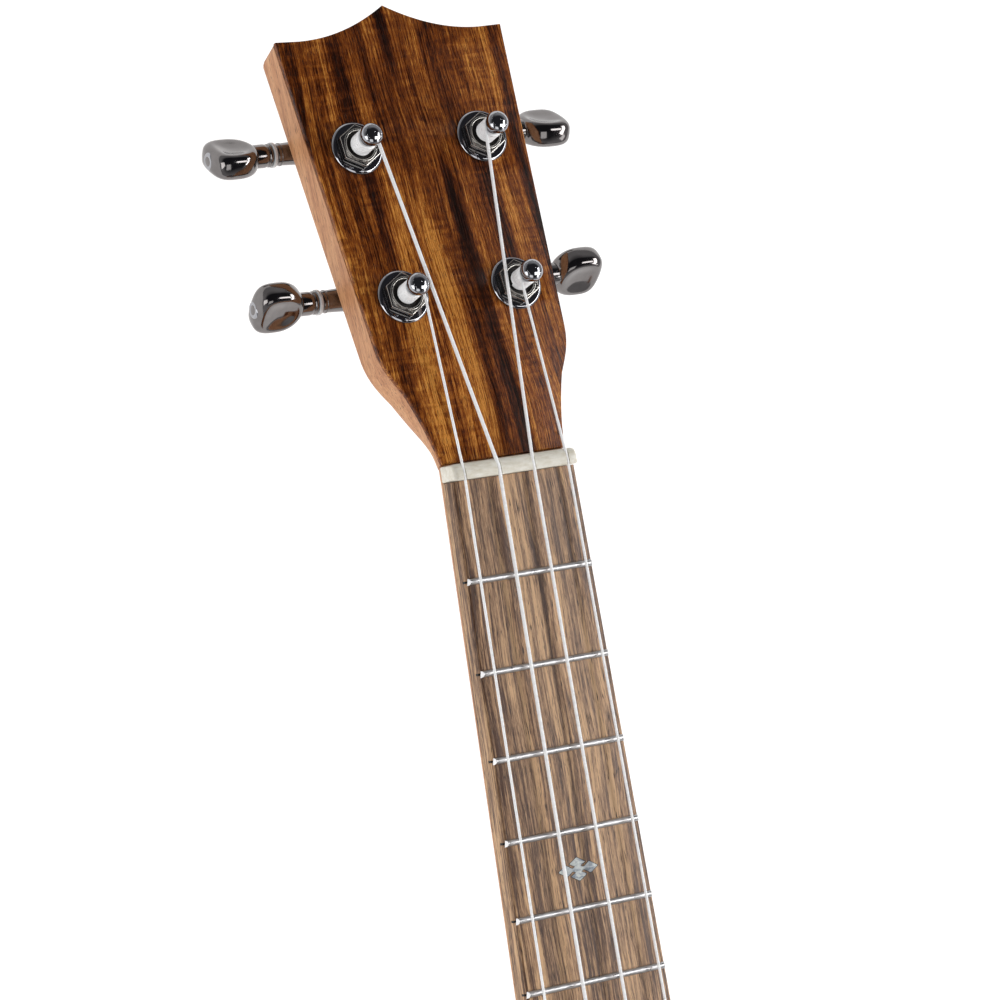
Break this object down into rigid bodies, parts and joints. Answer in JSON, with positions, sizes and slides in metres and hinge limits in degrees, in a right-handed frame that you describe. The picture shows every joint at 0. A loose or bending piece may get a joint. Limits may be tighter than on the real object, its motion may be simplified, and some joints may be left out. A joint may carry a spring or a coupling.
{
  "type": "ukulele",
  "caption": "Tenor-sized ukulele with a figure-eight wooden body, slim neck with metal frets, tilted headstock, sealed worm tuning machines and white strings.",
  "frame": {"origin": "under the middle of the bounding box, on the plane that the back lies on", "axes": "+X to the treble side, +Y from the tail to the headstock, +Z out of the soundboard towards the strings"},
  "size_m": [0.235, 0.6694, 0.0812],
  "materials": {
    "koa": "satin lacquer over streaked, figured wood",
    "mahogany": "satin, straight fine grain",
    "block_wood": "bare, planed",
    "walnut": "oiled, dark streaks along the grain",
    "ivory": "cream, faintly veined, polished",
    "nickel": "polished nickel silver",
    "chrome": "mirror",
    "nylon": "opaque pearly white"
  },
  "bodies": {
    "root": {"soundboard": "koa", "back": "koa", "rib_bass": "koa", "rib_treble": "koa", "headstock_veneer": "koa", "neck": "mahogany", "bridge_plate": "mahogany", "neck_block": "block_wood", "end_block": "block_wood", "fingerboard": "walnut", "bridge": "walnut", "nut": "ivory", "saddle": "ivory", "rosette": "ivory", "fret_01": "nickel", "fret_02": "nickel", "fret_03": "nickel", "fret_04": "nickel", "fret_05": "nickel", "fret_06": "nickel", "fret_07": "nickel", "fret_08": "nickel", "fret_09": "nickel", "fret_10": "nickel", "fret_11": "nickel", "fret_12": "nickel", "fret_13": "nickel", "fret_14": "nickel", "fret_15": "nickel", "fret_16": "nickel", "fret_17": "nickel", "fret_18": "nickel", "string_g": "nylon", "string_c": "nylon", "string_e": "nylon", "string_a": "nylon", "tuner_housing_bass_top": "chrome", "tuner_washer_bass_top": "chrome", "tuner_bushing_bass_top": "chrome", "tuner_housing_bass_low": "chrome", "tuner_washer_bass_low": "chrome", "tuner_bushing_bass_low": "chrome", "tuner_housing_treble_top": "chrome", "tuner_washer_treble_top": "chrome", "tuner_bushing_treble_top": "chrome", "tuner_housing_treble_low": "chrome", "tuner_washer_treble_low": "chrome", "tuner_bushing_treble_low": "chrome"},
    "key_bass_top": {"worm_shaft_bass_top": "nickel", "tuner_button_bass_top": "chrome"},
    "post_bass_top": {"tuner_post_bass_top": "chrome"},
    "key_bass_low": {"worm_shaft_bass_low": "nickel", "tuner_button_bass_low": "chrome"},
    "post_bass_low": {"tuner_post_bass_low": "chrome"},
    "key_treble_top": {"worm_shaft_treble_top": "nickel", "tuner_button_treble_top": "chrome"},
    "post_treble_top": {"tuner_post_treble_top": "chrome"},
    "key_treble_low": {"worm_shaft_treble_low": "nickel", "tuner_button_treble_low": "chrome"},
    "post_treble_low": {"tuner_post_treble_low": "chrome"}
  },
  "joints": [
    {"name": "key_turn_bass_top", "type": "hinge", "parent": "root", "child": "key_bass_top", "pos_m": [-0.018, 0.30024, 0.03768], "axis": [1, 0, 0], "continuous": true},
    {"name": "post_turn_bass_top", "type": "hinge", "parent": "root", "child": "post_bass_top", "pos_m": [-0.018, 0.29761, 0.0539], "axis": [0, 0.2113, 0.9774], "continuous": true},
    {"name": "key_turn_bass_low", "type": "hinge", "parent": "root", "child": "key_bass_low", "pos_m": [-0.0162, 0.26104, 0.04615], "axis": [1, 0, 0], "continuous": true},
    {"name": "post_turn_bass_low", "type": "hinge", "parent": "root", "child": "post_bass_low", "pos_m": [-0.0162, 0.25841, 0.06237], "axis": [0, 0.2113, 0.9774], "continuous": true},
    {"name": "key_turn_treble_top", "type": "hinge", "parent": "root", "child": "key_treble_top", "pos_m": [0.018, 0.30024, 0.03768], "axis": [1, 0, 0], "continuous": true},
    {"name": "post_turn_treble_top", "type": "hinge", "parent": "root", "child": "post_treble_top", "pos_m": [0.018, 0.29761, 0.0539], "axis": [0, 0.2113, 0.9774], "continuous": true},
    {"name": "key_turn_treble_low", "type": "hinge", "parent": "root", "child": "key_treble_low", "pos_m": [0.0162, 0.26104, 0.04615], "axis": [1, 0, 0], "continuous": true},
    {"name": "post_turn_treble_low", "type": "hinge", "parent": "root", "child": "post_treble_low", "pos_m": [0.0162, 0.25841, 0.06237], "axis": [0, 0.2113, 0.9774], "continuous": true}
  ],
  "couplings": [
    {"joint": "post_turn_bass_top", "follows": "key_turn_bass_top", "ratio": 0.071429},
    {"joint": "post_turn_bass_low", "follows": "key_turn_bass_low", "ratio": 0.071429},
    {"joint": "post_turn_treble_top", "follows": "key_turn_treble_top", "ratio": 0.071429},
    {"joint": "post_turn_treble_low", "follows": "key_turn_treble_low", "ratio": 0.071429}
  ]
}
